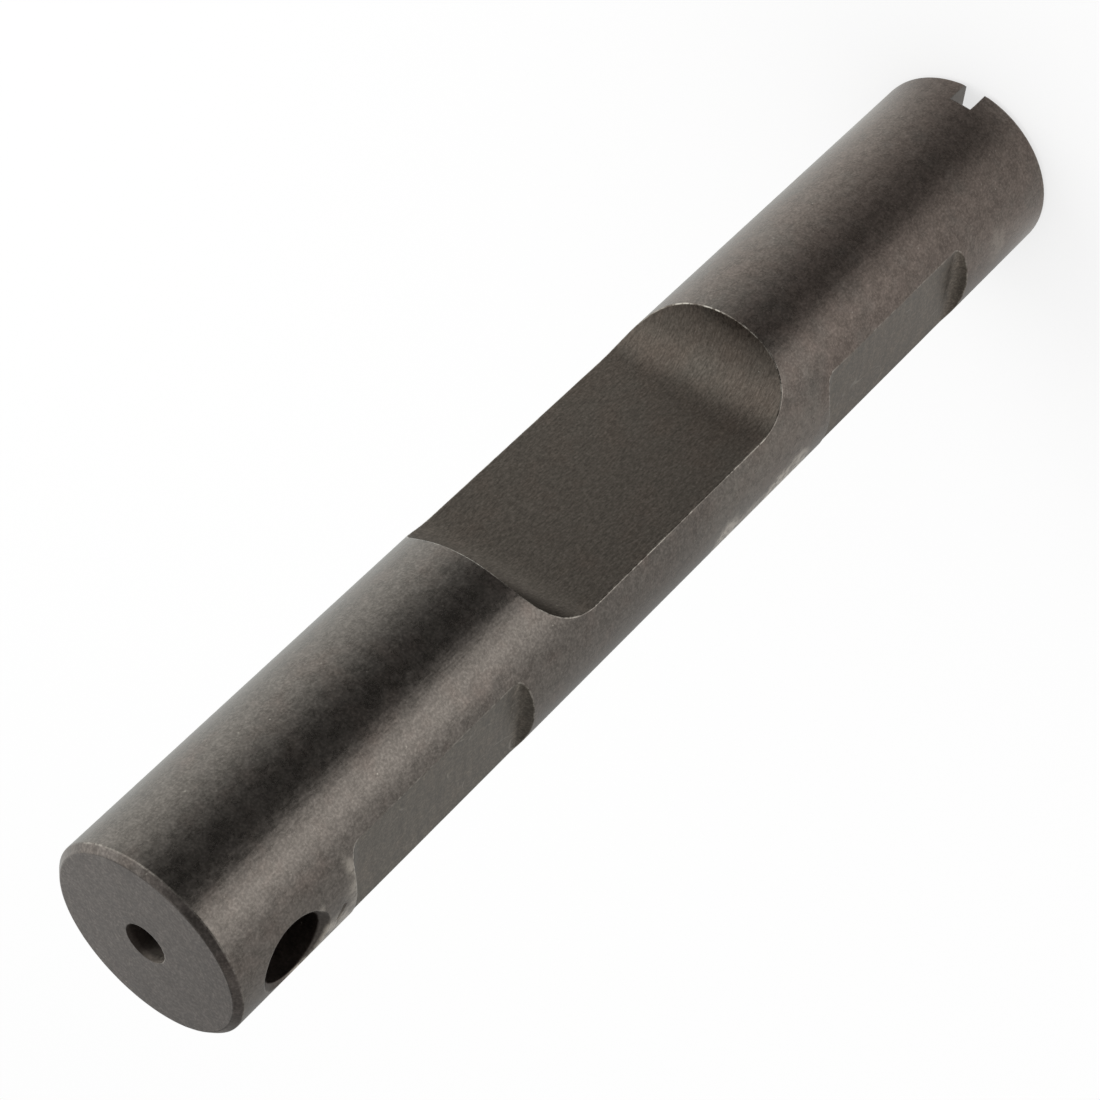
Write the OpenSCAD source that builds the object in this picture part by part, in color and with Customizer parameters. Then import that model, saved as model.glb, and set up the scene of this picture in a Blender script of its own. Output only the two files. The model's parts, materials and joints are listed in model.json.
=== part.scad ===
// Differential cross pin: one round steel bar that stands on its slotted end.
// The pin's axis is +Z and the centre scoop faces +X. The lock hole runs along Y,
// the oil flats face -Y and the drive slot runs along X, all three turned by lock_turn.

/* [Bar] */
// Diameter of the ground bar
pin_d = 20.2; // [18:0.1:26]
// Length over both end faces
pin_l = 123.4; // [116:0.2:160]
// Bevel at the rim of both end faces, as deep as it is wide
end_bevel = 0.6; // [0.2:0.1:1.4]

/* [Centre scoop] */
// Distance from the pin's axis to the scoop's floor
scoop_floor = 3.9; // [1:0.1:7]
// Length of the level floor, between the scoop's curved ends
scoop_floor_l = 25; // [12:0.5:28]
// Radius of the scoop's curved ends
scoop_end_r = 6.8; // [3:0.1:8]

/* [Oil flats] */
// Depth of each flat below the bar's surface
flat_depth = 1.3; // [0.5:0.1:2.5]
// Length of each flat's level floor
flat_floor_l = 21; // [10:0.5:22]
// Radius that the cutter leaves at both ends of a flat
flat_end_r = 1.5; // [0.8:0.1:3]
// Distance from the middle of the pin to the middle of each flat
flat_offset = 34.8; // [33:0.1:36]

/* [Lock hole] */
// Turn of the lock hole, flats and slot about the pin's axis, away from square to the scoop
lock_turn = 6.5; // [-12:0.5:12]
// Diameter of the hole for the lock bolt
lock_d = 6.8; // [5:0.1:7.6]
// Distance from the drilled end to the hole's axis
lock_inset = 7.3; // [6:0.1:8.5]
// Diameter of the countersunk mouths, at the bar's surface
lock_mouth_d = 8.3; // [8:0.1:9]

/* [End hole] */
// Diameter of the hole in the drilled end, which opens into the lock hole
end_hole_d = 4.1; // [2:0.1:4.8]

/* [Drive slot] */
// Width of the slot across the slotted end
slot_w = 2.4; // [1.2:0.1:4]
// Depth of the slot
slot_depth = 3.3; // [1.5:0.1:6]

/* [Hidden] */
$fn = 128;
pin_r = pin_d / 2;
// How far a cutter reaches past the surface that it cuts
over = 1;
cut_span = pin_d + 2 * over;
lock_z = pin_l - lock_inset;
// The lock hole's mouths are countersunk at 90 degrees
sink_depth = (lock_mouth_d - lock_d) / 2;

// The turned bar, with a bevel at both ends
module bar() {
    rotate_extrude()
        polygon([
            [0, 0],
            [pin_r - end_bevel, 0],
            [pin_r, end_bevel],
            [pin_r, pin_l - end_bevel],
            [pin_r - end_bevel, pin_l],
            [0, pin_l]
        ]);
}

// What a mill takes off the +X side: a level floor with a hollow round at each end
module mill_cut(floor_x, floor_l, end_r) {
    translate([floor_x, -cut_span / 2, -floor_l / 2])
        cube([cut_span, cut_span, floor_l]);
    for (end = [-1, 1])
        translate([floor_x + end_r, 0, end * floor_l / 2])
            rotate([90, 0, 0])
                cylinder(h = cut_span, r = end_r, center = true);
    translate([floor_x + end_r, -cut_span / 2, -floor_l / 2 - end_r])
        cube([cut_span, cut_span, floor_l + 2 * end_r]);
}

module scoop() {
    translate([0, 0, pin_l / 2])
        mill_cut(scoop_floor, scoop_floor_l, scoop_end_r);
}

module oil_flats() {
    for (side = [-1, 1])
        translate([0, 0, pin_l / 2 + side * flat_offset])
            rotate([0, 0, -90])
                mill_cut(pin_r - flat_depth, flat_floor_l, flat_end_r);
}

// The cross hole, with a countersunk mouth on both sides
module lock_hole() {
    translate([0, 0, lock_z])
        rotate([90, 0, 0]) {
            cylinder(h = cut_span, d = lock_d, center = true);
            for (side = [0, 180])
                rotate([side, 0, 0])
                    translate([0, 0, pin_r - sink_depth])
                        cylinder(h = sink_depth + over, d1 = lock_d, d2 = lock_mouth_d + 2 * over);
        }
}

module end_hole() {
    translate([0, 0, lock_z])
        cylinder(h = lock_inset + over, d = end_hole_d);
}

module drive_slot() {
    translate([-cut_span / 2, -slot_w / 2, -over])
        cube([cut_span, slot_w, slot_depth + over]);
}

module cross_pin() {
    color([0.27, 0.25, 0.24])
        difference() {
            bar();
            scoop();
            end_hole();
            rotate([0, 0, -lock_turn]) {
                oil_flats();
                lock_hole();
                drive_slot();
            }
        }
}

cross_pin();
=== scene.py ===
"""Looks of the differential cross pin: its form in a finer mesh with broken edges, in dark oxide steel."""

import json
from collections import namedtuple

import bpy
import numpy as np
from mathutils import Matrix, Vector, noise
from mathutils.geometry import delaunay_2d_cdt
from mathutils.kdtree import KDTree


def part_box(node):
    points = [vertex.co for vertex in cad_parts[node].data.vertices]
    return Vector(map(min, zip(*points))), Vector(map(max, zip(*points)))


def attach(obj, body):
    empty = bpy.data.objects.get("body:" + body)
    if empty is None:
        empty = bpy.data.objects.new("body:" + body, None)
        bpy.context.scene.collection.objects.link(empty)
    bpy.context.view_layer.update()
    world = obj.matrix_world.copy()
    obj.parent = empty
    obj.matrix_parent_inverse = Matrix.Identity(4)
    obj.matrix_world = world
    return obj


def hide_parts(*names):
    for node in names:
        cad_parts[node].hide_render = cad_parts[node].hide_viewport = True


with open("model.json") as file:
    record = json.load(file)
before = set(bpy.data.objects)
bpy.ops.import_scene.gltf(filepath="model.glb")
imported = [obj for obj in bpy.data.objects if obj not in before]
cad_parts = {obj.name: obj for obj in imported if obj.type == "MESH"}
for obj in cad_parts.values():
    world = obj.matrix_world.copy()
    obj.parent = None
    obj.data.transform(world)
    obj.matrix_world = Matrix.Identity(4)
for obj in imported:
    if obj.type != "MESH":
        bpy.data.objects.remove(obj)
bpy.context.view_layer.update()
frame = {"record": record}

# Sizes, in millimetres and radians.
MM = 0.001
MOUNT = {mount["name"]: mount for mount in frame["record"]["mounts"]}

PIN_R = MOUNT["drilled_journal"]["dims"]["r_mm"]
PIN_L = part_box("cross_pin")[1].z / MM
END_BEVEL = 0.6
FACE_R = PIN_R - END_BEVEL
END_R = MOUNT["end_hole"]["dims"]["r_mm"]

LOCK_R = MOUNT["lock_hole"]["dims"]["r_mm"]
LOCK_Z = MOUNT["lock_hole"]["pos_m"][2] / MM
LOCK_ANGLE = np.arctan2(MOUNT["lock_hole"]["axis"][1], MOUNT["lock_hole"]["axis"][0])
SINK_DEPTH = 0.75
SINK_START = PIN_R - SINK_DEPTH

SLOT_ANGLE = LOCK_ANGLE + np.pi / 2
SLOT_HALF = 1.2
SLOT_DEPTH = MOUNT["drive_slot"]["pos_m"][2] / MM

# Half the angle that the slot takes up and half its length, at the round and at the end face's rim.
SLOT_TURN = np.arcsin(SLOT_HALF / PIN_R)
SLOT_REACH = np.cos(SLOT_TURN) * PIN_R
FACE_TURN = np.arcsin(SLOT_HALF / FACE_R)
FACE_REACH = np.cos(FACE_TURN) * FACE_R

# A milled cut: its side, its floor's distance from the axis, the floor's length, the radius of its curved
# ends and the height of its middle.
Mill = namedtuple("Mill", "angle floor floor_l end_r middle")
SCOOP = Mill(angle=0.0, floor=3.9, floor_l=25.0, end_r=6.8, middle=PIN_L / 2)
FLAT_DEPTH = 1.3
FLAT_OFFSET = 34.8
LOW_FLAT = Mill(LOCK_ANGLE, PIN_R - FLAT_DEPTH, floor_l=21.0, end_r=1.5, middle=PIN_L / 2 - FLAT_OFFSET)
HIGH_FLAT = LOW_FLAT._replace(middle=PIN_L / 2 + FLAT_OFFSET)

# Ways along the lock hole, across it, and up the pin.
LOCK_OUT = np.array([np.cos(LOCK_ANGLE), np.sin(LOCK_ANGLE), 0])
LOCK_SIDE = np.array([-np.sin(LOCK_ANGLE), np.cos(LOCK_ANGLE), 0])
UP = np.array([0, 0, 1.0])

# A nick between the upper flat and the lock hole, as a bent line of angles and heights, with a margin of
# closer mesh points round it.
NICK_ANGLES = np.radians([-95.9, -98.6, -99.4, -102.4])
NICK_HEIGHTS = np.array([110.15, 110.45, 110.62, 110.93])
NICK_WIDTH = 0.17
NICK_DEPTH = 0.15
NICK_MARGIN = 0.3
NICK_STEP = 0.06

# Spots on the round that are rubbed pale, partly wear and partly a painted highlight: angle in degrees and
# height of the middle, reach round and along, share. The higher the fade below is, the later a spot fades
# out in its reach.
RubAndHighlight = namedtuple("RubAndHighlight", "angle height reach_round reach_along share")
RUBS_AND_HIGHLIGHTS = (
    RubAndHighlight(-114, 112.0, 3.2, 5.0, 0.75),
    RubAndHighlight(-85.3, 112.9, 0.6, 0.5, 0.5),
    RubAndHighlight(-98, 109.0, 3.6, 0.8, 0.55),
    RubAndHighlight(-82, 108.65, 3.2, 0.6, 0.6),
    RubAndHighlight(-112, 55.0, 3.2, 2.4, 0.9),
    RubAndHighlight(-114, 51.0, 2.2, 6.0, 0.6),
    RubAndHighlight(-113, 46.5, 2.8, 3.0, 1.0),
    RubAndHighlight(-112, 43.8, 3.2, 2.6, 0.9),
    RubAndHighlight(-98, 48.0, 7.0, 14.0, 0.12),
    RubAndHighlight(-88, 9.3, 2.6, 1.6, 0.2),
)
RUB_AND_HIGHLIGHT_FADE = 3

# Painted light: the side of the end hole that light falls on is painted pale like the rubbed spots.
HOLE_LIT_ANGLE = np.radians(-121)
HOLE_LIT_SHARE = 0.42

# Mesh steps: across the faces, along the edges, and in from an edge.
GRID_STEP = 0.75
GRID_ROW = GRID_STEP * 0.87
GRID_CLEAR = GRID_STEP * 0.62
RIM_STEP = 0.4
RIM_SAMPLES = 4001
LOCK_STEP = RIM_STEP * 0.7
END_STEP = RIM_STEP * 0.6
SINK_ROUNDS = 40
EDGE = 0.13
STRIP_ROWS = (0.0, 0.15, 0.5, 0.85, 1.0)

# Points this close together are one point, and triangles this small in area are left out.
WELD = 0.002
SAME_POINT = 1e-6
SLIVER = 1e-6

# A point lies on an edge if a face's normal there has a smaller cosine to the mean normal than this.
EDGE_COSINE = 0.995

# The share that an edge point is drawn in by, how much and how fast it varies along the edge, and the
# farthest point that it is drawn towards.
BREAK = 0.35
BREAK_VARY = 0.12
BREAK_RATE = 0.9
BREAK_REACH = EDGE * 1.6

# Finishes, in the order of pin_finishes.
GROUND, MILLED, FLAT, FACED, BEVEL, SUNK, BORED, END_BORE = range(8)

# How bright each face's own edges are worn: where faces meet, their shares are multiplied.
# A milled face has one share for its lower end, one for its sides and one for its upper end.
SCOOP_WEAR = (1.0, 0.6, 0.75)
FLAT_WEAR = (0.6, 0.3, 0.9)
BEVEL_WEAR = 0.35
FACE_WEAR = 0.1
SUNK_WEAR = 0.2
BORE_WEAR = 0.0
SLOT_WEAR = 0.12


# Mesh tools.
def turned(vectors, angle):
    """Vectors turned about the pin's axis."""
    c, s = np.cos(angle), np.sin(angle)
    return vectors @ np.array([[c, s, 0], [-s, c, 0], [0, 0, 1]])


def spokes_at(angles, way=1):
    """Unit vectors square to the pin's axis, mirrored if way is -1."""
    return np.column_stack([np.cos(angles), way * np.sin(angles), np.zeros(len(angles))])


def stops(start, end, step=RIM_STEP):
    """Even stops from start to end, both included."""
    return np.linspace(start, end, max(int(round(abs(end - start) / step)), 1) + 1)


def even(loop):
    """A closed loop of 2-D points, set out again at even steps."""
    closed = np.vstack([loop, loop[:1]])
    along = np.concatenate([[0], np.cumsum(np.linalg.norm(np.diff(closed, axis=0), axis=1))])
    where = np.linspace(0, along[-1], int(along[-1] / RIM_STEP) + 1)[:-1]
    return np.column_stack([np.interp(where, along, closed[:, i]) for i in range(2)])


def inside(points, loops):
    """Which 2-D points lie inside an odd number of closed loops."""
    odd = np.zeros(len(points), bool)
    x, y = points[:, 0], points[:, 1]
    for loop in loops:
        for (ax, ay), (bx, by) in zip(loop, np.roll(loop, -1, axis=0)):
            if ay != by:
                crosses = (ay > y) != (by > y)
                odd ^= crosses & (x < (bx - ax) * (y - ay) / (by - ay) + ax)
    return odd


def edge_row(loop, loops, seam):
    """A row of points just inside a loop, left out along the seam of an unrolled face."""
    run = np.roll(loop, -1, axis=0) - np.roll(loop, 1, axis=0)
    side = np.column_stack([-run[:, 1], run[:, 0]]) / np.linalg.norm(run, axis=1)[:, None]
    row = loop + EDGE * side
    row = np.where(inside(row, loops)[:, None], row, loop - EDGE * side)
    return row[~np.isclose(np.abs(loop[:, 0]), seam)]


def grid_inside(loops, taken):
    """Points of a staggered grid inside the loops and clear of the points already taken."""
    tree = KDTree(len(taken))
    for i, (x, y) in enumerate(taken):
        tree.insert((x, y, 0), i)
    tree.balance()
    low, high = np.vstack(loops).min(0), np.vstack(loops).max(0)
    rows = []
    for i, y in enumerate(np.arange(low[1], high[1], GRID_ROW)):
        x = np.arange(low[0] + GRID_STEP / 2 * (i % 2), high[0], GRID_STEP)
        rows.append(np.column_stack([x, np.full(len(x), y)]))
    grid = np.vstack(rows)
    grid = grid[inside(grid, loops)]
    clear = [tree.find((x, y, 0))[2] > GRID_CLEAR for x, y in grid]
    return grid[clear]


def fill(loops, seam=-1.0, extra=np.zeros((0, 2))):
    """Triangles inside closed loops of 2-D points, without slivers: all points, and triples of them."""
    rim = np.vstack(loops)
    taken = np.vstack([rim, extra] + [edge_row(loop, loops, seam) for loop in loops])
    points = np.vstack([taken, grid_inside(loops, taken)])
    edges = []
    for loop in loops:
        first = len(edges)
        count = len(loop)
        edges += [(first + k, first + (k + 1) % count) for k in range(count)]
    made = delaunay_2d_cdt([Vector(p) for p in points], edges, [], 0, SAME_POINT, False)
    flat = np.array([v[:] for v in made[0]])
    faces = np.array(made[2])
    a, b, c = (flat[faces[:, i]] for i in range(3))
    area = np.abs(np.cross(b - a, c - a)) / 2
    return flat, faces[inside(flat[faces].mean(1), loops) & (area > SLIVER)]


def strip(rows, closed):
    """Triangles between rows of as many points each."""
    count = len(rows[0])
    faces = []
    for r in range(len(rows) - 1):
        for k in range(count if closed else count - 1):
            a = r * count + k
            b = r * count + (k + 1) % count
            faces += [(a, b, b + count), (a, b + count, a + count)]
    return np.vstack(rows), np.array(faces)


def between(first, last, closed):
    """A strip from one row of points to another."""
    return strip([first + (last - first) * f for f in STRIP_ROWS], closed)


class Skin:
    """Faces gathered patch by patch, each with its true normals and its finish."""

    def __init__(self):
        """Starts with no patches."""
        self.points = []
        self.normals = []
        self.faces = []
        self.finish = []
        self.wear = []
        self.count = 0

    def add(self, points, normals, faces, finish, wear=1.0):
        """Adds a patch, with one normal and edge wear for all its points or one for each."""
        self.points.append(points)
        self.normals.append(np.broadcast_to(normals, points.shape))
        self.faces.append(faces + self.count)
        self.finish.append(np.full(len(faces), finish))
        self.wear.append(np.broadcast_to(wear, len(points)))
        self.count += len(points)

    def joined(self):
        """Patches joined where they meet, edges broken: points, normals, faces, finish, edge wear."""
        points, normals = np.vstack(self.points), np.vstack(self.normals)
        faces, finish = np.vstack(self.faces), np.concatenate(self.finish)
        tree = KDTree(len(points))
        for i, p in enumerate(points):
            tree.insert(p, i)
        tree.balance()
        first = np.array([min(hit[1] for hit in tree.find_range(p, WELD)) for p in points])
        kept, place = np.unique(first, return_inverse=True)
        mean = np.zeros((len(kept), 3))
        np.add.at(mean, place, normals)
        mean /= np.linalg.norm(mean, axis=1)[:, None]
        rim = np.zeros(len(kept), bool)
        rim[place[(normals * mean[place]).sum(1) < EDGE_COSINE]] = True
        wear = np.ones(len(kept))
        np.multiply.at(wear, place, np.concatenate(self.wear))
        points, faces = points[kept], place[faces]
        broken = break_edges(points, faces, rim)
        return broken, mean, outward(broken, mean, faces), finish, wear * rim


def break_edges(points, faces, rim):
    """Draws every edge point in, about a third of the way to the points beside it on its faces."""
    pairs = np.vstack([faces[:, [0, 1]], faces[:, [1, 2]], faces[:, [2, 0]]])
    pairs = np.vstack([pairs, pairs[:, ::-1]])
    pairs = pairs[rim[pairs[:, 0]] & ~rim[pairs[:, 1]]]
    near = np.linalg.norm(points[pairs[:, 0]] - points[pairs[:, 1]], axis=1) < BREAK_REACH
    pairs = pairs[near]
    total = np.zeros((len(points), 3))
    count = np.zeros(len(points))
    np.add.at(total, pairs[:, 0], points[pairs[:, 1]])
    np.add.at(count, pairs[:, 0], 1)
    some = count > 0
    uneven = np.array([BREAK + BREAK_VARY * noise.noise(Vector(p) * BREAK_RATE) for p in points[some]])
    moved = points.copy()
    moved[some] += (total[some] / count[some, None] - points[some]) * uneven[:, None]
    return moved


def outward(points, normals, faces):
    """Faces wound so that they look along their points' normals."""
    a, b, c = (points[faces[:, i]] for i in range(3))
    away = (np.cross(b - a, c - a) * normals[faces].sum(1)).sum(1) < 0
    faces = faces.copy()
    faces[away] = faces[away][:, ::-1]
    return faces


# The pin's faces.
def profile(mill, run):
    """Distance from the axis, height and slope of a milled face, at a run along it from its middle."""
    turn = np.maximum(np.abs(run) - mill.floor_l / 2, 0) / mill.end_r
    out = mill.floor + mill.end_r * (1 - np.cos(turn))
    along = np.minimum(np.abs(run), mill.floor_l / 2) + mill.end_r * np.sin(turn)
    return out, mill.middle + np.sign(run) * along, np.sign(run) * turn


def mill_rim(mill):
    """The closed edge of a milled face, as runs along it and widths across it."""
    last = mill.floor_l / 2 + mill.end_r * np.arccos(1 - (PIN_R - mill.floor) / mill.end_r)
    run = last * np.sin(np.linspace(-np.pi / 2, np.pi / 2, RIM_SAMPLES))
    out = np.minimum(profile(mill, run)[0], PIN_R)
    half = np.column_stack([run, np.sqrt(PIN_R ** 2 - out ** 2)])
    return even(np.vstack([half[:-1], (half * [1, -1])[:0:-1]]))


def on_mill(mill, flat):
    """Points and normals of a milled face from runs and widths."""
    out, z, slope = profile(mill, flat[:, 0])
    points = np.column_stack([out, flat[:, 1], z])
    normals = np.column_stack([np.cos(slope), np.zeros(len(slope)), -np.sin(slope)])
    return turned(points, mill.angle), turned(normals, mill.angle)


def mill_wear(mill, flat, wear):
    """Edge wear of a milled face at its lower end, its sides and its upper end."""
    low, high = flat[:, 0] < -mill.floor_l / 2, flat[:, 0] > mill.floor_l / 2
    return np.select([low, high], [wear[0], wear[2]], wear[1])


def unrolled(points):
    """Points of the round as lengths round it from the slot, and heights."""
    angle = np.arctan2(points[:, 1], points[:, 0]) - SLOT_ANGLE
    angle = (angle + np.pi) % (2 * np.pi) - np.pi
    return np.column_stack([angle * PIN_R, points[:, 2]])


def nick_line():
    """The nick's line, unrolled."""
    return np.column_stack([(NICK_ANGLES - SLOT_ANGLE) * PIN_R, NICK_HEIGHTS])


def nick_cut(flat):
    """How deep the nick is at unrolled points."""
    depth = np.zeros(len(flat))
    line = nick_line()
    for a, b in zip(line[:-1], line[1:]):
        part = np.clip((flat - a) @ (b - a) / ((b - a) @ (b - a)), 0, 1)
        away = np.linalg.norm(flat - a - part[:, None] * (b - a), axis=1)
        depth = np.maximum(depth, NICK_DEPTH * np.exp(-(away / NICK_WIDTH) ** 2))
    return depth


def nick_points():
    """Close points round the nick."""
    line = nick_line()
    low, high = line.min(0) - NICK_MARGIN, line.max(0) + NICK_MARGIN
    x, y = np.meshgrid(stops(low[0], high[0], NICK_STEP), stops(low[1], high[1], NICK_STEP))
    return np.column_stack([x.ravel(), y.ravel()])


def on_round(flat):
    """Points and normals of the round from unrolled points."""
    angle = flat[:, 0] / PIN_R + SLOT_ANGLE
    radial = spokes_at(angle)
    round_way = np.column_stack([-np.sin(angle), np.cos(angle), np.zeros(len(angle))])
    cut = nick_cut(flat)
    nudge = 0.01
    slope_s = (nick_cut(flat + [nudge, 0]) - cut) / nudge
    slope_z = (nick_cut(flat + [0, nudge]) - cut) / nudge
    points = radial * (PIN_R - cut)[:, None]
    points[:, 2] = flat[:, 1]
    normals = radial + round_way * slope_s[:, None] + np.outer(slope_z, [0, 0, 1])
    return points, normals / np.linalg.norm(normals, axis=1)[:, None]


def rubbed_and_lit(points):
    """How pale each point is painted: rubbed spots with a painted highlight on the round, painted light on
    one side of the end hole.
    """
    flat = unrolled(points)
    share = np.zeros(len(points))
    for rub_and_light in RUBS_AND_HIGHLIGHTS:
        round_way = (flat[:, 0] - (np.radians(rub_and_light.angle) - SLOT_ANGLE) * PIN_R) / rub_and_light.reach_round
        along = (flat[:, 1] - rub_and_light.height) / rub_and_light.reach_along
        fade = np.clip(RUB_AND_HIGHLIGHT_FADE * (1 - np.hypot(round_way, along)), 0, 1)
        share = np.maximum(share, rub_and_light.share * fade)
    share *= 1 - nick_cut(flat) / NICK_DEPTH
    away = np.hypot(points[:, 0], points[:, 1])
    # Painted light on the lit side of the end hole.
    facing = points[:, :2] @ [np.cos(HOLE_LIT_ANGLE), np.sin(HOLE_LIT_ANGLE)] / END_R
    in_hole = HOLE_LIT_SHARE * np.clip(facing, 0, 1) * (away < END_R + EDGE / 2)
    return np.where(away > PIN_R - EDGE, share, in_hole)


def path(corners):
    """A closed path of straight runs between 2-D corners, in even steps."""
    points = []
    for a, b in zip(corners, corners[1:] + corners[:1]):
        share = np.linspace(0, 1, len(stops(0, np.hypot(b[0] - a[0], b[1] - a[1]))))[:-1]
        points += [(a[0] + (b[0] - a[0]) * f, a[1] + (b[1] - a[1]) * f) for f in share]
    return np.array(points)


def round_outline():
    """Outline of the unrolled round, with the slot's notches at its lower edge."""
    low, high = END_BEVEL, PIN_L - END_BEVEL
    far = np.pi * PIN_R
    half = SLOT_TURN * PIN_R
    notch = [(-half, low), (-half, SLOT_DEPTH), (half, SLOT_DEPTH), (half, low)]
    left = [(-far, SLOT_DEPTH), (-far + half, SLOT_DEPTH), (-far + half, low)]
    right = [(far - half, low), (far - half, SLOT_DEPTH), (far, SLOT_DEPTH)]
    return path(left + notch + right + [(far, high), (-far, high)])


def lock_ring():
    """Even angles round the lock hole, from its lowest point."""
    return stops(-np.pi * LOCK_R, np.pi * LOCK_R, LOCK_STEP)[:-1] / LOCK_R


def lock_spokes(angles):
    """Unit vectors square to the lock hole's axis."""
    return np.outer(np.sin(angles), LOCK_SIDE) + np.outer(np.cos(angles), UP)


def sink_rows(way):
    """The outer and inner edge of one countersink, and the normals between them.

    The outer edge, where the cone meets the round, is closed in on step by step.
    """
    angles = lock_ring()
    spokes = lock_spokes(angles)
    reach = np.full(len(angles), LOCK_R)
    for _ in range(SINK_ROUNDS):
        height = np.sqrt(PIN_R ** 2 - (reach * np.sin(angles)) ** 2)
        reach = LOCK_R + height - SINK_START
    outer = np.outer(height * way, LOCK_OUT) + spokes * reach[:, None] + LOCK_Z * UP
    inner = np.outer(np.full(len(angles), SINK_START * way), LOCK_OUT) + spokes * LOCK_R + LOCK_Z * UP
    return outer, inner, (way * LOCK_OUT - spokes) / np.sqrt(2)


def end_hole_rows():
    """The end hole's edge in the end face and its edge in the lock hole, with angles from the lock hole."""
    angles = stops(0, 2 * np.pi * END_R, END_STEP)[:-1] / END_R
    spokes = np.outer(np.cos(angles), LOCK_OUT) + np.outer(np.sin(angles), LOCK_SIDE)
    top = spokes * END_R + PIN_L * UP
    drop = LOCK_Z + np.sqrt(LOCK_R ** 2 - (END_R * np.sin(angles)) ** 2)
    return angles, top, spokes * END_R + np.outer(drop, UP), -spokes


def add_round(skin):
    """The ground round with openings for everything cut into it."""
    mills = (SCOOP, LOW_FLAT, HIGH_FLAT)
    loops = [round_outline()]
    for mill in mills:
        rim = mill_rim(mill)
        loops.append(unrolled(on_mill(mill, rim)[0]))
        flat, faces = fill([rim])
        finish, wear = (MILLED, SCOOP_WEAR) if mill is SCOOP else (FLAT, FLAT_WEAR)
        skin.add(*on_mill(mill, flat), faces, finish, mill_wear(mill, flat, wear))
    for way in (1, -1):
        outer, inner, normals = sink_rows(way)
        loops.append(unrolled(outer))
        points, faces = between(outer, inner, True)
        skin.add(points, np.tile(normals, (len(STRIP_ROWS), 1)), faces, SUNK, SUNK_WEAR)
    flat, faces = fill(loops, np.pi * PIN_R, nick_points())
    skin.add(*on_round(flat), faces, GROUND)


def add_holes(skin):
    """The lock hole's bore and the end hole's bore, which meet."""
    angles, top, bottom, normals = end_hole_rows()
    points, faces = between(top, bottom, True)
    skin.add(points, np.tile(normals, (len(STRIP_ROWS), 1)), faces, END_BORE, BORE_WEAR)
    edge = lock_ring() * LOCK_R
    edge = np.append(edge, -edge[0])
    side = stops(-SINK_START, SINK_START)[1:-1]
    outline = np.vstack([
        np.column_stack([edge, np.full(len(edge), -SINK_START)]),
        np.column_stack([np.full(len(side), edge[-1]), side]),
        np.column_stack([edge[::-1], np.full(len(edge), SINK_START)]),
        np.column_stack([np.full(len(side), edge[0]), side[::-1]]),
    ])
    round_way = np.arcsin(END_R * np.sin(angles) / LOCK_R) * LOCK_R
    flat, faces = fill([outline, np.column_stack([round_way, END_R * np.cos(angles)])], edge[-1])
    spokes = lock_spokes(flat[:, 0] / LOCK_R)
    points = np.outer(flat[:, 1], LOCK_OUT) + spokes * LOCK_R + LOCK_Z * UP
    skin.add(points, -spokes, faces, BORED, BORE_WEAR)


def add_drilled_end(skin):
    """The bevel and the face of the drilled end."""
    spokes = spokes_at(stops(-np.pi * PIN_R, np.pi * PIN_R)[:-1] / PIN_R + SLOT_ANGLE)
    lower = spokes * PIN_R + (PIN_L - END_BEVEL) * UP
    upper = spokes * FACE_R + PIN_L * UP
    points, faces = between(lower, upper, True)
    normals = np.tile((spokes + UP) / np.sqrt(2), (len(STRIP_ROWS), 1))
    skin.add(points, normals, faces, BEVEL, BEVEL_WEAR)
    flat, faces = fill([upper[:, :2], end_hole_rows()[1][:, :2]])
    skin.add(np.column_stack([flat, np.full(len(flat), PIN_L)]), UP, faces, FACED, FACE_WEAR)


def slot_wall():
    """Outline of a slot wall, as lengths along the slot and heights."""
    chord = stops(-FACE_REACH, FACE_REACH)
    top = stops(-SLOT_REACH, SLOT_REACH)
    rise = stops(END_BEVEL, SLOT_DEPTH)
    slant = [(FACE_REACH + (SLOT_REACH - FACE_REACH) * f, END_BEVEL * f) for f in STRIP_ROWS[1:-1]]
    side = np.vstack([slant, np.column_stack([np.full(len(rise), SLOT_REACH), rise])])
    return np.vstack([
        np.column_stack([chord, np.zeros(len(chord))]),
        side[:-1],
        np.column_stack([top[::-1], np.full(len(top), SLOT_DEPTH)]),
        (side * [-1, 1])[-2::-1],
    ])


def half_face(arc):
    """Outline of one half of the slotted end's face, from the angles along its rim."""
    chord = stops(-FACE_REACH, FACE_REACH)
    return np.vstack([
        np.column_stack([np.cos(arc), np.sin(arc)]) * FACE_R,
        np.column_stack([chord[1:-1], np.full(len(chord) - 2, SLOT_HALF)]),
    ])


def slot_floor():
    """Outline of the slot's floor."""
    top = stops(-SLOT_REACH, SLOT_REACH)
    line = np.column_stack([top, np.full(len(top), SLOT_HALF)])
    notch = stops(-SLOT_TURN * PIN_R, SLOT_TURN * PIN_R) / PIN_R
    notch = np.column_stack([np.cos(notch), np.sin(notch)]) * PIN_R
    return np.vstack([
        notch[:-1],
        line[::-1][:-1],
        notch[::-1][:-1] * [-1, 1],
        (line * [1, -1])[:-1],
    ])


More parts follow.
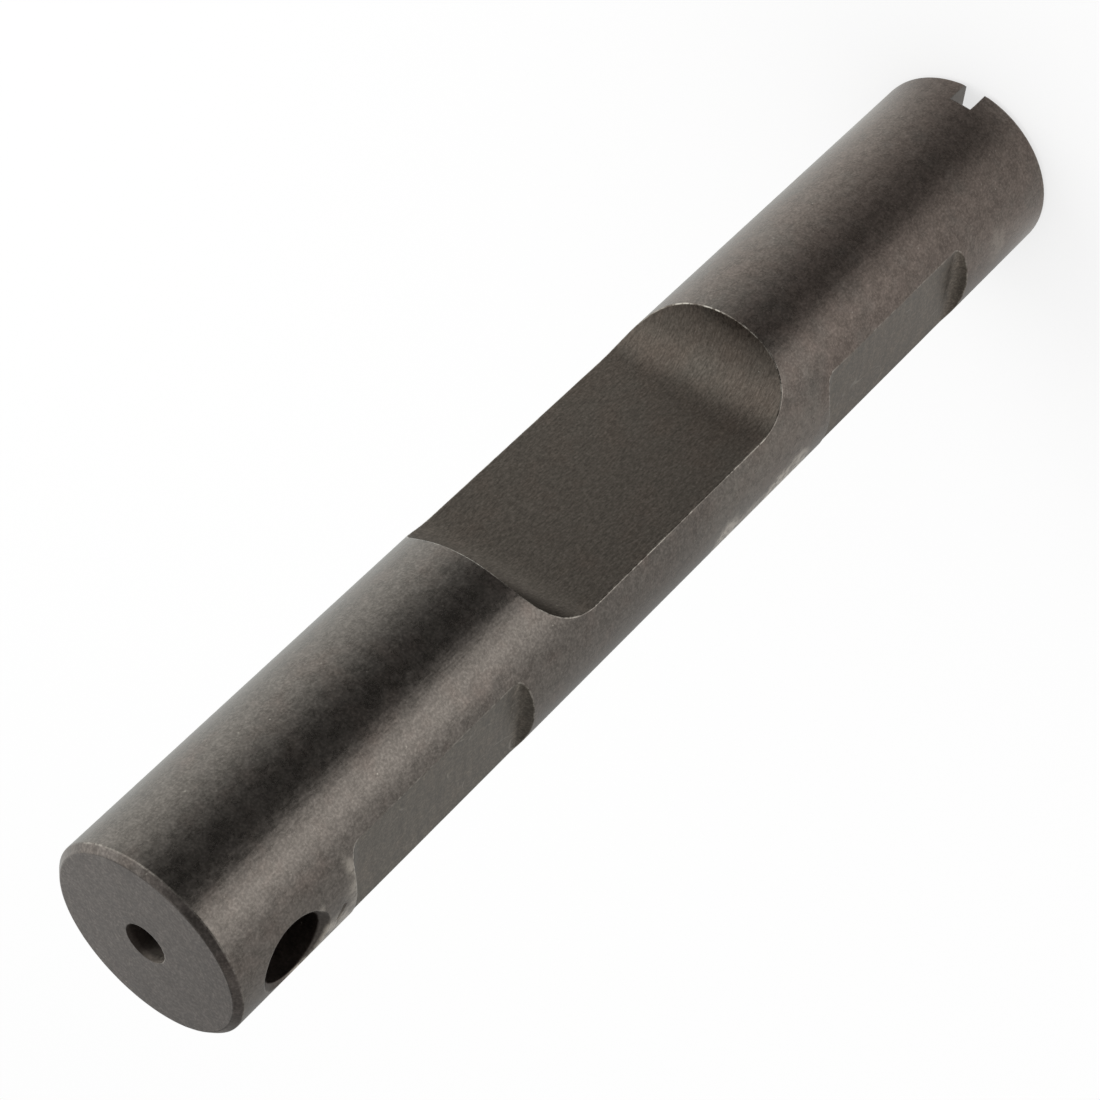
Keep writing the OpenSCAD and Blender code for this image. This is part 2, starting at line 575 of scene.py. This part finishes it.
def add_slotted_end(skin):
    """The bevel, the two half faces and the slot of the lower end."""
    arc = stops(SLOT_TURN * PIN_R, (np.pi - SLOT_TURN) * PIN_R) / PIN_R
    face_arc = np.linspace(FACE_TURN, np.pi - FACE_TURN, len(arc))
    wall_flat, wall_faces = fill([slot_wall()])
    half_flat, half_faces = fill([half_face(face_arc)])
    for way in (1, -1):
        spokes = spokes_at(arc, way)
        points, faces = between(spokes_at(face_arc, way) * FACE_R, spokes * PIN_R + END_BEVEL * UP, False)
        normals = np.tile((spokes - UP) / np.sqrt(2), (len(STRIP_ROWS), 1))
        skin.add(turned(points, SLOT_ANGLE), turned(normals, SLOT_ANGLE), faces, BEVEL, BEVEL_WEAR)
        points = np.column_stack([half_flat * [1, way], np.zeros(len(half_flat))])
        skin.add(turned(points, SLOT_ANGLE), -UP, half_faces, FACED, FACE_WEAR)
        beside = np.full(len(wall_flat), way * SLOT_HALF)
        points = np.column_stack([wall_flat[:, 0], beside, wall_flat[:, 1]])
        normal = turned(np.array([0, -way, 0.0]), SLOT_ANGLE)
        skin.add(turned(points, SLOT_ANGLE), normal, wall_faces, SUNK, SLOT_WEAR)
    flat, faces = fill([slot_floor()])
    points = np.column_stack([flat, np.full(len(flat), SLOT_DEPTH)])
    skin.add(turned(points, SLOT_ANGLE), -UP, faces, SUNK, SLOT_WEAR)


def make_pin(materials):
    """The pin as one closed mesh, riding on the body in the solid's place."""
    skin = Skin()
    add_round(skin)
    add_holes(skin)
    add_drilled_end(skin)
    add_slotted_end(skin)
    points, normals, faces, finish, rim = skin.joined()
    mesh = bpy.data.meshes.new("pin_body")
    mesh.from_pydata((points * MM).tolist(), [], faces.tolist())
    mesh.polygons.foreach_set("use_smooth", np.ones(len(faces), bool))
    mesh.polygons.foreach_set("material_index", finish.astype(np.int32))
    # The second share marks pale spots: rubbed wear with a painted highlight, and painted light in the end
    # hole.
    for name, values in (("rim", rim), ("rub_and_light", rubbed_and_lit(points))):
        mesh.attributes.new(name, "FLOAT", "POINT").data.foreach_set("value", values.astype(np.float32))
    for material in materials:
        mesh.materials.append(material)
    mesh.update()
    mesh.normals_split_custom_set_from_vertices(normals.tolist())
    pin = bpy.data.objects.new("pin_body", mesh)
    bpy.context.scene.collection.objects.link(pin)
    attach(pin, "root")
    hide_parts("cross_pin")
    return pin


# Finishes.

# The roughness of noise in space, and the span that most of its values lie in.
NOISE_ROUGH = 0.6
NOISE_SPAN = (0.3, 0.7)


class Graph:
    """A material's nodes, added one at a time."""

    def __init__(self, name):
        """Starts a material with no nodes."""
        self.material = bpy.data.materials.new(name)
        self.material.use_nodes = True
        self.tree = self.material.node_tree
        self.tree.nodes.clear()

    def node(self, kind, inputs, **settings):
        """A node with its settings, and its inputs as values or as other nodes' outputs."""
        node = self.tree.nodes.new("ShaderNode" + kind)
        for name, value in settings.items():
            setattr(node, name, value)
        for name, value in inputs.items():
            if isinstance(value, bpy.types.NodeSocket):
                self.tree.links.new(value, node.inputs[name])
            else:
                node.inputs[name].default_value = value
        return node

    def math(self, operation, a, b=0.0):
        """What an operation makes of two values."""
        return self.node("Math", {0: a, 1: b}, operation=operation).outputs[0]

    def vector(self, operation, a, b=(0, 0, 0)):
        """A node with an operation on two vectors."""
        return self.node("VectorMath", {0: a, 1: b}, operation=operation)

    def scaled(self, place, scales):
        """A place with its X, Y and Z each times a scale."""
        return self.vector("MULTIPLY", place, scales).outputs[0]

    def away(self, place):
        """How far a place is from the origin."""
        return self.vector("LENGTH", place).outputs["Value"]

    def noise(self, place, scale, detail):
        """Noise in space."""
        inputs = {"Vector": place, "Scale": scale, "Detail": detail, "Roughness": NOISE_ROUGH}
        return self.node("TexNoise", inputs).outputs["Fac"]

    def span(self, value, low, high, start=0.0, end=1.0):
        """A value from low to high as a share from start to end, held at both."""
        inputs = {"Value": value, "From Min": low, "From Max": high, "To Min": start, "To Max": end}
        return self.node("MapRange", inputs).outputs[0]

    def vary(self, value, share):
        """A noise value as a factor that varies by a share either way."""
        return self.span(value, *NOISE_SPAN, 1 - share, 1 + share)

    def bump(self, height, depth, under=None):
        """A bump of a depth in millimetres, on top of another one."""
        inputs = {"Height": height, "Strength": 1.0, "Distance": depth * MM}
        if under is not None:
            inputs["Normal"] = under
        return self.node("Bump", inputs).outputs[0]

    def mix(self, share, a, b):
        """Two colours mixed, with a share of the second."""
        node = self.tree.nodes.new("ShaderNodeMix")
        node.data_type = "RGBA"
        colours = [socket for socket in node.inputs if socket.type == "RGBA"]
        for socket, value in zip([node.inputs[0]] + colours, (share, a, b)):
            if isinstance(value, bpy.types.NodeSocket):
                self.tree.links.new(value, socket)
            else:
                socket.default_value = value
        return [socket for socket in node.outputs if socket.type == "RGBA"][0]

    def surface(self, shader):
        """The finished material, with a shader on its surface."""
        self.node("OutputMaterial", {"Surface": shader.outputs[0]})
        return self.material


# Bare steel on worn edges, in flecks and scratches, and a pale, less metallic colour where the pin is
# rubbed, which also paints a highlight there and painted light on one side of the end hole.
WORN_COLOUR = (0.56, 0.52, 0.47, 1)
FLECK_COLOUR = (0.4, 0.37, 0.33, 1)
RUB_AND_HIGHLIGHT_COLOUR = (0.44, 0.4, 0.345, 1)
RUB_AND_HIGHLIGHT_METAL = 0.3

# Tool marks: scales per millimetre along X, Y and Z, or stretch and scale of arcs round a centre.
GROUND_MARKS = (0.12, 0.12, 5.0)
MILLED_MARKS = (1.5, 5.0, 1.5)
SWEPT_STRETCH = (1.4, 0.0, 1.0)
SWEPT_SCALE = 1.4
FACED_STRETCH = (1, 1, 0)
FACED_SCALE = 4.0

# Blotches of a finish's two colours, which shift from the warm to the cool one between two heights.
BLOTCH_SCALE = 0.28
COLOUR_DRIFT = 0.2
DRIFT_SPAN = (30, 60)

# Mottle and grain, how far the grain darkens and lightens the steel, and how far the mottle roughens it.
MOTTLE_SCALE = 1.0
GRAIN_SCALE = 4.0
GRAIN_SPAN = (0.42, 0.74)
GRAIN_DARKER = 0.45
GRAIN_LIGHTER = 1.1
SMOOTHER = 0.04
ROUGHER = 0.06

# Slow waves in the surface.
WAVE_SCALES = (0.5, 0.5, 0.12)

# Flecks: the cells that have one, its fading edge in its cell, and the grain that breaks it up.
FLECK_SCALE = 0.9
FLECK_DRAW = 0.8
FLECK_EDGE = (0.05, 0.1)
FLECK_GRAIN = (0.42, 0.55)
FLECK_SHARE = 0.7

# Scratches: their bends, their width as a step of the noise, and the noise that breaks them up.
SCRATCH_SCALES = (0.25, 0.25, 0.15)
SCRATCH_WIDTH = 0.012
BREAKS_SCALE = 0.35
BREAKS_SPAN = (0.52, 0.58)

# Worn edges: the wear that shows in full, and a slow and a fast noise that break it up.
FULL_WEAR = 0.7
SLOW_SCALE = 0.3
SLOW_SPAN = (0.4, 0.56)
SLOW_LEAST = 0.25
FAST_SCALE = 1.6
FAST_SPAN = (0.42, 0.54)

# Patches in the rubbed spots and in their painted highlight and light.
PATCH_SCALE = 1.4
PATCH_SPAN = (0.38, 0.54)
PATCH_LEAST = 0.3

# A finish: two colours, roughness, tool marks, how strongly these and the mottle and grain change its tone,
# depths in millimetres, the strength of its scratches and its tint at a glancing angle.
Finish = namedtuple("Finish", (
    "name warm cool rough marks mark_tone mark_depth mottle grain grain_depth wave_depth lines glance"
), defaults=(0.0, 0.0, 1.0))


def marks_round(g, place):
    """Grinding marks round the pin."""
    return g.noise(g.scaled(place, GROUND_MARKS), 1.0, detail=4.0)


def marks_along(g, place):
    """Milling marks along the scoop, running up its ends."""
    return g.noise(g.scaled(place, MILLED_MARKS), 1.0, detail=2.0)


def arcs(g, place, stretch, scale, detail):
    """Noise in arcs round the origin."""
    inputs = {"W": g.away(g.scaled(place, stretch)), "Scale": scale, "Detail": detail}
    return g.node("TexNoise", inputs, noise_dimensions="1D").outputs["Fac"]


def marks_swept(g, place):
    """Arcs swept across the flats by a wide cutter, round the middle of the pin."""
    centred = g.vector("SUBTRACT", place, (0, 0, PIN_L / 2)).outputs[0]
    return arcs(g, centred, SWEPT_STRETCH, SWEPT_SCALE, detail=5.0)


def marks_faced(g, place):
    """Turning marks round the middle of an end face."""
    return arcs(g, place, FACED_STRETCH, FACED_SCALE, detail=3.0)


def blotches(g, place):
    """Large blotches, as shares of a finish's cool colour."""
    height = g.node("SeparateXYZ", {0: place}).outputs["Z"]
    drift = g.span(height, *DRIFT_SPAN, -COLOUR_DRIFT, COLOUR_DRIFT)
    return g.span(g.math("ADD", g.noise(place, BLOTCH_SCALE, detail=3.0), drift), *NOISE_SPAN)


def tones(g, f, mottle, grain, cuts):
    """How light the steel is, by its mottle, grain and tool marks."""
    tone = g.vary(mottle, f.mottle)
    specks = g.span(grain, *GRAIN_SPAN, 1 - GRAIN_DARKER * f.grain, 1 + GRAIN_LIGHTER * f.grain)
    tone = g.math("MULTIPLY", tone, specks)
    return g.math("MULTIPLY", tone, g.vary(cuts, f.mark_tone))


def flecks(g, place, grain):
    """Small bright flecks, in a few of the cells of a cell pattern."""
    cell = g.node("TexVoronoi", {"Vector": place, "Scale": FLECK_SCALE})
    draw = g.node("SeparateColor", {0: cell.outputs["Color"]}).outputs[0]
    chosen = g.math("GREATER_THAN", draw, FLECK_DRAW)
    spot = g.math("MULTIPLY", g.span(cell.outputs["Distance"], *FLECK_EDGE, 1.0, 0.0), chosen)
    return g.math("MULTIPLY", spot, g.span(grain, *FLECK_GRAIN, 0.0, FLECK_SHARE))


def hairlines(g, place, share):
    """Fine bent scratches: thin level lines of a slow noise, broken into short lengths."""
    slow = g.noise(g.scaled(place, SCRATCH_SCALES), 1.0, detail=0.0)
    off_line = g.math("ABSOLUTE", g.math("SUBTRACT", slow, 0.5))
    line = g.span(off_line, 0.0, SCRATCH_WIDTH, share, 0.0)
    return g.math("MULTIPLY", line, g.span(g.noise(place, BREAKS_SCALE, detail=2.0), *BREAKS_SPAN))


def edge_wear(g, place):
    """Bright wear along the edges, in uneven lengths."""
    rim = g.node("Attribute", {}, attribute_name="rim").outputs["Fac"]
    slow = g.span(g.noise(place, SLOW_SCALE, detail=2.0), *SLOW_SPAN, SLOW_LEAST, 1.0)
    fast = g.span(g.noise(place, FAST_SCALE, detail=4.0), *FAST_SPAN)
    return g.math("MULTIPLY", g.span(rim, 0.0, FULL_WEAR), g.math("MULTIPLY", slow, fast))


def rub_and_light_patches(g, place):
    """Pale rubbed spots with their painted highlight, and painted light in the end hole, in patches."""
    rub_and_light = g.node("Attribute", {}, attribute_name="rub_and_light").outputs["Fac"]
    patches = g.span(g.noise(place, PATCH_SCALE, detail=5.0), *PATCH_SPAN, PATCH_LEAST, 1.0)
    return g.math("MULTIPLY", rub_and_light, patches)


def oxide_steel(f):
    """Dark oxide steel with tool marks, blotches, grain, flecks, hairlines and bright worn edges."""
    g = Graph(f.name)
    place = g.scaled(g.node("TexCoord", {}).outputs["Object"], (1 / MM, 1 / MM, 1 / MM))
    cuts = f.marks(g, place)
    mottle = g.noise(place, MOTTLE_SCALE, detail=5.0)
    grain = g.noise(place, GRAIN_SCALE, detail=2.0)
    wave = g.noise(g.scaled(place, WAVE_SCALES), 1.0, detail=3.0)
    rub_and_light = rub_and_light_patches(g, place)

    colour = g.mix(blotches(g, place), f.warm, f.cool)
    tone = tones(g, f, mottle, grain, cuts)
    colour = g.node("VectorMath", {0: colour, "Scale": tone}, operation="SCALE").outputs[0]
    colour = g.mix(flecks(g, place, grain), colour, FLECK_COLOUR)
    colour = g.mix(hairlines(g, place, f.lines), colour, FLECK_COLOUR)
    # Painted highlight and light: the rubbed spots and the lit side of the end hole turn pale here, and
    # less metallic below.
    colour = g.mix(rub_and_light, colour, RUB_AND_HIGHLIGHT_COLOUR)
    colour = g.mix(edge_wear(g, place), colour, WORN_COLOUR)

    bump = g.bump(wave, f.wave_depth)
    bump = g.bump(cuts, f.mark_depth, bump)
    bump = g.bump(grain, f.grain_depth, bump)
    return g.surface(g.node("BsdfPrincipled", {
        "Base Color": colour,
        "Metallic": g.span(rub_and_light, 0.0, 1.0, 1.0, RUB_AND_HIGHLIGHT_METAL),
        "Roughness": g.span(mottle, *NOISE_SPAN, f.rough - SMOOTHER, f.rough + ROUGHER),
        "Normal": bump,
        "Specular Tint": (f.glance, f.glance, f.glance, 1),
    }))


def pin_finishes():
    """Finishes in the order of the mesh's marks."""
    warm, cool = (0.178, 0.147, 0.131, 1), (0.164, 0.147, 0.134, 1)
    dark, darker = (0.133, 0.108, 0.092, 1), (0.125, 0.108, 0.094, 1)
    grey, green = (0.174, 0.149, 0.126, 1), (0.151, 0.135, 0.115, 1)
    plain, pale = (0.100, 0.088, 0.083, 1), (0.126, 0.113, 0.106, 1)
    bare, sunk = (0.172, 0.151, 0.140, 1), (0.128, 0.113, 0.103, 1)
    # The bores' colours are darker than the steel outside: painted shade in the holes.
    shaded_brown, shaded_black = (0.12, 0.1, 0.09, 1), (0.11, 0.09, 0.08, 1)
    finishes = (
        Finish("ground", warm, cool, rough=0.28, marks=marks_round, mark_tone=0.06, mark_depth=0.0006,
               mottle=0.2, grain=0.27, grain_depth=0.007, wave_depth=0.05, lines=0.1),
        Finish("milled", dark, darker, rough=0.4, marks=marks_along, mark_tone=0.22, mark_depth=0.022,
               mottle=0.06, grain=0.24, grain_depth=0.006, glance=0.6),
        Finish("flat", grey, green, rough=0.33, marks=marks_swept, mark_tone=0.1, mark_depth=0.003,
               mottle=0.24, grain=0.34, grain_depth=0.003, lines=0.5),
        Finish("faced", plain, pale, rough=0.35, marks=marks_faced, mark_tone=0.07, mark_depth=0.0015,
               mottle=0.26, grain=0.36, grain_depth=0.004, wave_depth=0.02, lines=0.15),
        Finish("bevel", warm, bare, rough=0.33, marks=marks_faced, mark_tone=0.03, mark_depth=0.002,
               mottle=0.25, grain=0.25, grain_depth=0.004, wave_depth=0.05),
        Finish("sunk", sunk, sunk, rough=0.36, marks=marks_faced, mark_tone=0.04, mark_depth=0.003,
               mottle=0.12, grain=0.25, grain_depth=0.004),
        # Painted shade: both bores are darker than the steel outside.
        Finish("bored_shaded", shaded_black, shaded_black, rough=0.45, marks=marks_round, mark_tone=0.05, mark_depth=0.002,
               mottle=0.15, grain=0.2, grain_depth=0.003),
        Finish("end_bore_shaded", shaded_brown, shaded_brown, rough=0.7, marks=marks_round, mark_tone=0.05, mark_depth=0.004,
               mottle=0.15, grain=0.2, grain_depth=0.004),
    )
    return [oxide_steel(finish) for finish in finishes]


# Studio, in metres.

# The camera's place and ways, fitted to the photo, with a nudge up and to the left of half a photo pixel.
CAMERA_AT = Vector((0.211257, -0.128447, 0.226609))
CAMERA_RIGHT = Vector((-0.02805, -0.79282, -0.60881))
CAMERA_UP = Vector((0.69387, 0.42298, -0.58279))
CAMERA_NUDGE = 0.000042
CAMERA_LENS = 105.795
CAMERA_SENSOR = 36
CAMERA_CLIP = (0.01, 20)

WORLD_LIGHT = 0.95
FLOOR_SIZE = 8
FLOOR_COLOUR = (0.92, 0.92, 0.92, 1)
FLOOR_GLOW = 0.7

# What shines in the pin from the table, far off and close by, and from the tent's wall and roof:
# bearings in degrees from +X, and brightness.
FAR_TABLE = (
    (-180, 0.42), (-150, 0.58), (-92, 0.64), (-71, 1.52), (-61, 1.65), (-51, 1.32), (-33, 0.12),
    (-11, 0.08), (9, 0.12), (29, 0.42), (49, 0.9), (69, 1.18), (109, 0.94), (139, 0.74), (160, 0.42),
)
NEAR_TABLE = (
    (-180, 0.35), (-150, 0.45), (-137, 0.52), (-122, 0.64), (-108, 0.74), (-92, 0.66), (-77, 0.58),
    (-62, 0.56), (-47, 0.52), (-31, 0.25), (-15, 0.19), (0, 0.31), (16, 0.54), (31, 0.74), (45, 0.96),
    (58, 0.98), (71, 1.0), (109, 0.84), (139, 0.7), (160, 0.4),
)
WALL = (
    (-180, 0.3), (-160, 0.26), (-140, 0.42), (-120, 0.4), (-85, 0.42), (-31, 0.12), (0, 0.2), (28, 1.35),
    (70, 1.4), (110, 0.95), (143, 1.08), (153, 0.56), (163, 0.34),
)
ROOF = ((-180, 0.25), (-120, 0.2), (-31, 0.1), (20, 0.4), (50, 0.68), (107, 0.68), (150, 0.3))

# The table's light at the pin's foot, and where this light and the close one fade out.
UNDER_LEVEL = 0.66
UNDER_REACH = (0.009, 0.0145)
NEAR_REACH = (0.01, 0.15)

# The tent's tint, and a cooler one between two bearings.
TENT_TINT = np.array([1.0, 0.993, 0.965])
COOL_TINT = np.array([0.973, 0.994, 0.965])
COOL_SIDE = (20, 140)

TENT_RADIUS = 0.9
TENT_HEIGHT = 1.0
TENT_SIDES = 96
TENT_LIFT = 0.0002

# A soft lamp for the floor and the pale spots of rubbed wear and painted highlight, which doesn't shine in
# the steel.
KEY_AT = (0.25, 0.35, 0.6)
KEY_TARGET = (0, 0, 0.05)
KEY_SIZE = 0.4
KEY_POWER = 1.0


def add_camera():
    """A camera at the photo's place and angle."""
    right = CAMERA_RIGHT.normalized()
    back = right.cross(CAMERA_UP).normalized()
    up = back.cross(right)
    camera = bpy.data.objects.new("camera", bpy.data.cameras.new("camera"))
    camera.matrix_world = Matrix((right, up, back)).transposed().to_4x4()
    camera.location = CAMERA_AT + (up - right) * CAMERA_NUDGE
    camera.data.lens = CAMERA_LENS
    camera.data.sensor_width = CAMERA_SENSOR
    camera.data.clip_start, camera.data.clip_end = CAMERA_CLIP
    bpy.context.scene.collection.objects.link(camera)
    bpy.context.scene.camera = camera


def add_world():
    """Even pale light from all round."""
    world = bpy.data.worlds.new("studio")
    world.use_nodes = True
    background = world.node_tree.nodes["Background"]
    background.inputs["Color"].default_value = (1, 1, 1, 1)
    background.inputs["Strength"].default_value = WORLD_LIGHT
    bpy.context.scene.world = world


def floor_paper():
    """Pale paper, part of it shown as plain white where it is looked at, so that shadows stay soft."""
    g = Graph("floor")
    seen = g.node("LightPath", {}).outputs
    looked_at = g.math("ADD", seen["Is Camera Ray"], seen["Is Glossy Ray"])
    looked_at = g.math("ADD", looked_at, seen["Is Transmission Ray"])
    paper = g.node("BsdfDiffuse", {"Color": FLOOR_COLOUR})
    white = g.node("Emission", {"Strength": 1.0})
    share = g.math("MULTIPLY", looked_at, FLOOR_GLOW)
    return g.surface(g.node("MixShader", {0: share, 1: paper.outputs[0], 2: white.outputs[0]}))


def add_floor():
    """A plain pale floor."""
    bpy.ops.mesh.primitive_plane_add(size=FLOOR_SIZE)
    floor = bpy.context.object
    floor.name = "floor"
    floor.data.materials.append(floor_paper())


def tinted(level, bearing):
    """The tent's light at a brightness, a little cooler from one side."""
    cool = COOL_SIDE[0] < bearing < COOL_SIDE[1]
    return (*((COOL_TINT if cool else TENT_TINT) * level), 1)


def by_bearing(g, place, levels):
    """Light that changes with the bearing from the pin."""
    parts = g.node("SeparateXYZ", {0: place}).outputs
    bearing = g.math("ARCTAN2", parts["Y"], parts["X"])
    ramp = g.node("ValToRGB", {"Fac": g.span(bearing, -np.pi, np.pi)})
    marks = ramp.color_ramp.elements
    marks.remove(marks[1])
    for degrees, level in levels:
        share = (degrees + 180) / 360
        mark = marks.new(share) if share > 0 else marks[0]
        mark.color = tinted(level, degrees)
    return ramp.outputs["Color"]


def shining(g, light):
    """A surface that only shines."""
    g.material.cycles.emission_sampling = "NONE"
    return g.surface(g.node("Emission", {"Color": light}))


def tent_wall():
    """The wall round the pin."""
    g = Graph("tent_wall")
    return shining(g, by_bearing(g, g.node("TexCoord", {}).outputs["Object"], WALL))


def tent_table():
    """The table round the pin: one light far off, another close by, and plain light at the pin's foot."""
    g = Graph("tent_table")
    place = g.node("TexCoord", {}).outputs["Object"]
    away = g.away(place)
    near = g.span(away, *NEAR_REACH, 1.0, 0.0)
    under = g.span(away, *UNDER_REACH, 1.0, 0.0)
    light = g.mix(near, by_bearing(g, place, FAR_TABLE), by_bearing(g, place, NEAR_TABLE))
    return shining(g, g.mix(under, light, tinted(UNDER_LEVEL, 0)))


def tent_roof():
    """The roof over the pin."""
    g = Graph("tent_roof")
    return shining(g, by_bearing(g, g.node("TexCoord", {}).outputs["Object"], ROOF))


def add_tent():
    """A light tent with bright and dark sides, which only shines in the pin and isn't seen itself."""
    bpy.ops.mesh.primitive_cylinder_add(vertices=TENT_SIDES, radius=TENT_RADIUS, depth=TENT_HEIGHT)
    tent = bpy.context.object
    tent.name = "tent"
    tent.data.transform(Matrix.Translation((0, 0, TENT_HEIGHT / 2 + TENT_LIFT)))
    for material in (tent_wall(), tent_roof(), tent_table()):
        tent.data.materials.append(material)
    wall, roof, table = range(3)
    for face in tent.data.polygons:
        face.material_index = {1: roof, -1: table}.get(round(face.normal.z), wall)
    tent.visible_camera = False
    tent.visible_diffuse = False
    tent.visible_shadow = False
    tent.visible_transmission = False


def add_lamp(name, place, target, size, power):
    """A soft square lamp, not seen itself."""
    lamp = bpy.data.objects.new(name, bpy.data.lights.new(name, "AREA"))
    lamp.data.size = size
    lamp.data.energy = power
    lamp.location = place
    lamp.rotation_euler = (Vector(target) - Vector(place)).to_track_quat("-Z", "Y").to_euler()
    lamp.visible_camera = False
    lamp.visible_glossy = False
    bpy.context.scene.collection.objects.link(lamp)


make_pin(pin_finishes())
add_camera()
add_world()
add_floor()
add_tent()
add_lamp("key", KEY_AT, KEY_TARGET, KEY_SIZE, KEY_POWER)
bpy.context.scene.view_settings.view_transform = "Standard"
